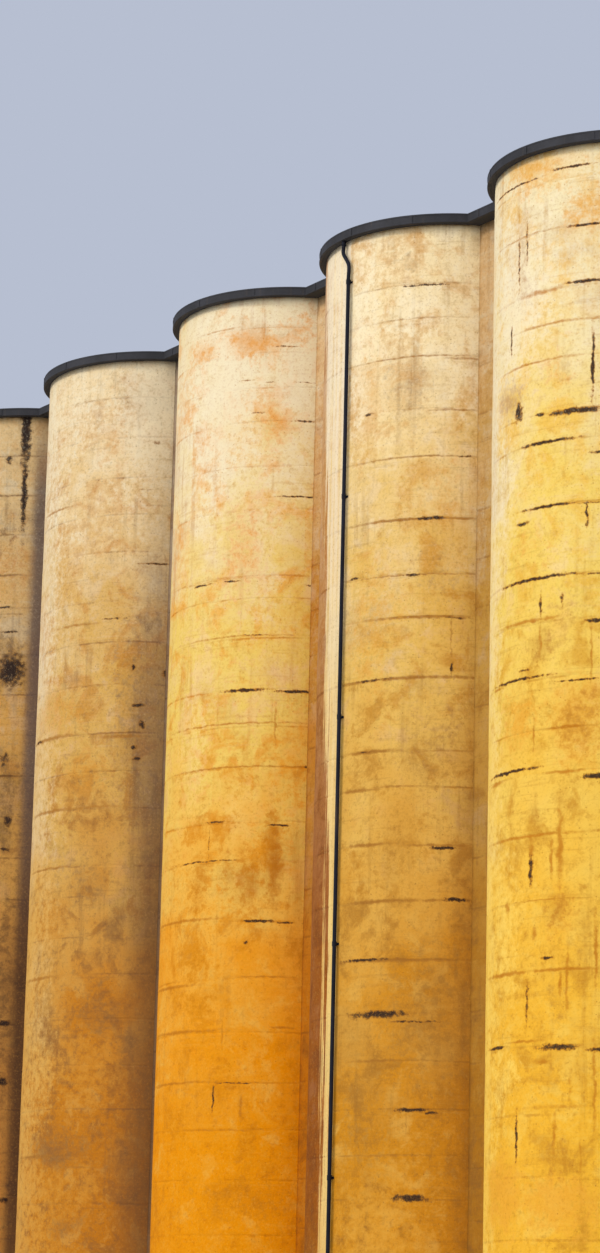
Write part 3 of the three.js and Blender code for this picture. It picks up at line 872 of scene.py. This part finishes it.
def turned(profile, side=0.0):
    """A round body about the pipe's axis from radius and height steps, its ends on the axis."""
    points = [pipe_place(side, 0, profile[0][1])]
    for radius, height in profile[1:-1]:
        for step in range(PIPE_SIDES):
            turn = 2 * math.pi * step / PIPE_SIDES
            points.append(pipe_place(side + radius * math.cos(turn), -radius * math.sin(turn), height))
    points.append(pipe_place(side, 0, profile[-1][1]))
    rings = len(profile) - 2
    faces = []
    for step in range(PIPE_SIDES):
        after = (step + 1) % PIPE_SIDES
        faces.append((0, 1 + after, 1 + step))
        for ring in range(rings - 1):
            low = 1 + ring * PIPE_SIDES
            faces.append((low + step, low + after, low + PIPE_SIDES + after, low + PIPE_SIDES + step))
        top = 1 + (rings - 1) * PIPE_SIDES
        faces.append((top + step, top + after, len(points) - 1))
    return points, faces


def block(side, out, height):
    """A box from (low, high) ranges across, out from the axis and up."""
    points = [pipe_place(x, y, z) for z in height for y in out for x in side]
    faces = [(0, 1, 3, 2), (4, 6, 7, 5), (0, 4, 5, 1), (2, 3, 7, 6), (0, 2, 6, 4), (1, 5, 7, 3)]
    return points, faces


def bolt(side, out_low, out_high, height, radius=0.012, corners=6):
    """A hexagon head whose axis points out of the wall."""
    points = []
    for out in (out_low, out_high):
        for step in range(corners):
            turn = 2 * math.pi * step / corners
            points.append(pipe_place(side + radius * math.cos(turn), out, height + radius * math.sin(turn)))
    faces = [tuple(range(corners)), tuple(range(corners, 2 * corners))[::-1]]
    faces += [(n, n + corners, (n + 1) % corners + corners, (n + 1) % corners) for n in range(corners)]
    return points, faces


def socket_profile(high):
    lip = SOCKET_RADIUS - 0.005
    return [
        (0, high - 0.13), (PIPE_RADIUS - 0.002, high - 0.13), (PIPE_RADIUS + 0.003, high - 0.122),
        (SOCKET_RADIUS - 0.001, high - 0.108), (SOCKET_RADIUS - 0.001, high - 0.092),
        (lip, high - 0.086), (lip, high - 0.034), (SOCKET_RADIUS, high - 0.028),
        (SOCKET_RADIUS, high - 0.006), (lip + 0.001, high), (0.0, high),
    ]


def wall_fixing(middle):
    """A collar band with two ears bolted to a plate on the wall."""
    back = -PIPE_STANDOFF + 0.0005
    rim = SOCKET_RADIUS - 0.001
    parts = [
        turned([(0, middle - 0.022), (rim - 0.003, middle - 0.022), (rim, middle - 0.018),
                (rim, middle + 0.018), (rim - 0.003, middle + 0.022), (0, middle + 0.022)]),
        block((-LUG_HALF, LUG_HALF), (back, -0.03), (middle - LUG_HALF, middle + LUG_HALF)),
        block((-0.072, 0.072), (back, back + 0.01), (middle - 0.03, middle + 0.03)),
    ]
    for side in (-0.054, 0.054):
        parts.append(bolt(side, back + 0.01, back + 0.02, middle))
    return parts


def swan_neck(material):
    """A smooth bend through four points, below a socket under the overhang."""
    top = HEIGHT
    route = [(-NECK_SHIFT, top - 0.13), (-NECK_SHIFT, top - 0.35), (0, top - 0.70), (0, top - NECK_LENGTH)]
    knots = [Vector((side, height)) for side, height in route]
    knots = [2 * knots[0] - knots[1], *knots, 2 * knots[-1] - knots[-2]]
    line = []
    for before, start, stop, beyond in zip(knots, knots[1:], knots[2:], knots[3:]):
        for step in range(NECK_STEPS):
            t = step / NECK_STEPS
            line.append(0.5 * (
                2 * start + (stop - before) * t
                + (2 * before - 5 * start + 4 * stop - beyond) * t * t
                + (3 * start - before - 3 * stop + beyond) * t ** 3
            ))
    line.append(knots[-2])
    points = []
    for index, spot in enumerate(line):
        way = (line[min(index + 1, len(line) - 1)] - line[max(index - 1, 0)]).normalized()
        for step in range(PIPE_SIDES):
            turn = 2 * math.pi * step / PIPE_SIDES
            across = PIPE_RADIUS * math.cos(turn)
            points.append(pipe_place(
                spot.x - way.y * across, PIPE_RADIUS * math.sin(turn), spot.y + way.x * across))
    bend = (points, sleeve_faces(len(line), PIPE_SIDES))
    parts = [bend, turned(socket_profile(top), -NECK_SHIFT)]
    mesh = solid_mesh("swan_neck", parts)
    add_piece("swan_neck_detail", mesh, material, "downpipe", "downpipe_swan_neck")


def pipe_lengths(material):
    top = HEIGHT - NECK_LENGTH - PIECE_GAP
    step = (top - FOOT_HEIGHT) / PIPE_LENGTHS
    for index in range(PIPE_LENGTHS):
        high = top - index * step
        low = high - step + PIECE_GAP
        tube = [(0, low), (PIPE_RADIUS, low), (PIPE_RADIUS, high - 0.1), (0, high - 0.1)]
        parts = [turned(tube), turned(socket_profile(high)), *wall_fixing(high - 0.06)]
        name = f"pipe_length_{index + 1}_detail"
        mesh = solid_mesh(name, parts)
        add_piece(name, mesh, material, "downpipe", f"downpipe_length_{index + 1}")


def pipe_foot(material):
    steps = [
        (0, 0), (FOOT_RADIUS - 0.002, 0), (FOOT_RADIUS, 0.004), (FOOT_RADIUS, 0.13),
        (FOOT_RADIUS - 0.004, 0.142), (PIPE_RADIUS, 0.15),
        (PIPE_RADIUS, FOOT_HEIGHT), (0, FOOT_HEIGHT),
    ]
    mesh = solid_mesh("pipe_foot", [turned(steps)])
    add_piece("pipe_foot_detail", mesh, material, "downpipe", "downpipe_foot")


def set_stage():
    size = 400.0
    mesh = bpy.data.meshes.new("floor")
    corners = [(-size, -size, 0), (size, -size, 0), (size, size, 0), (-size, size, 0)]
    mesh.from_pydata(corners, [], [(0, 1, 2, 3)])
    add_object("floor", mesh, pale_floor())

    world = bpy.data.worlds.new("studio")
    world.use_nodes = True
    background = world.node_tree.nodes["Background"]
    background.inputs["Color"].default_value = (0.474, 0.521, 0.638, 1)
    scene.world = world

    scene.view_settings.view_transform = "Standard"

    add_sun("key", azimuth=-106, elevation=34, strength=1.55, spread=12, colour=(1.0, 0.96, 0.88))
    add_sun("fill", azimuth=-45, elevation=30, strength=1.15, spread=60, colour=(1.0, 0.97, 0.92))
    add_sun("back", azimuth=75, elevation=35, strength=1.0, spread=45, colour=(1.0, 0.95, 0.88))


def add_sun(name, azimuth, elevation, strength, spread, colour):
    """A sun that shines from the given direction; azimuth -90 is straight in front."""
    data = bpy.data.lights.new(name, "SUN")
    data.energy = strength
    data.angle = math.radians(spread)
    data.color = colour
    lamp = bpy.data.objects.new(name, data)
    around = math.radians(azimuth)
    rise = math.radians(elevation)
    level = math.cos(rise)
    source = Vector((math.cos(around) * level, math.sin(around) * level, math.sin(rise)))
    lamp.rotation_euler = source.to_track_quat("Z", "Y").to_euler()
    scene.collection.objects.link(lamp)


def dress_node(name, material):
    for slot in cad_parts[name].material_slots:
        slot.material = material


set_camera()
set_stage()

deck = roof_concrete()
edge_coat = dark_coating("edge_coat", (0.012, 0.012, 0.015), (0.10, 0.10, 0.11), 0.72, 0.4)
pipe_paint = dark_coating("pipe_paint", (0.005, 0.006, 0.012), (0.03, 0.024, 0.022), 0.6, 0.12)
floor_concrete = concrete("floor_concrete", LINK_TONES[4], joints=False)

for silo in range(1, SILOS + 1):
    silo_concrete = concrete(f"silo_{silo}_concrete", TONES[silo], silo)
    half_skin(silo, "front", FRONT_COLUMNS, silo_concrete)
    half_skin(silo, "back", BACK_COLUMNS, silo_concrete)
    dress_node(f"silo_floor_{silo}", floor_concrete)
    dress_node(f"roof_slab_{silo}", deck)
    if silo < SILOS:
        link_concrete = concrete(f"link_{silo}_concrete", LINK_TONES[silo])
        link_skin(silo, "front", link_concrete)
        link_skin(silo, "back", link_concrete)

low, high = VALLEY_DEGREES, 180 - VALLEY_DEGREES
roof_edge("left_end_edge", "roof_edge_1", 1, (low, 360 - low), edge_coat)
roof_edge("right_end_edge", f"roof_edge_{SILOS}", SILOS, (180 + low, 540 - low), edge_coat)
for silo in range(2, SILOS):
    roof_edge(f"front_edge_{silo}", f"roof_edge_front_{silo}", silo, (180 + low, 180 + high), edge_coat)
    roof_edge(f"back_edge_{silo}", f"roof_edge_back_{silo}", silo, (low, high), edge_coat)

swan_neck(pipe_paint)
pipe_lengths(pipe_paint)
pipe_foot(pipe_paint)
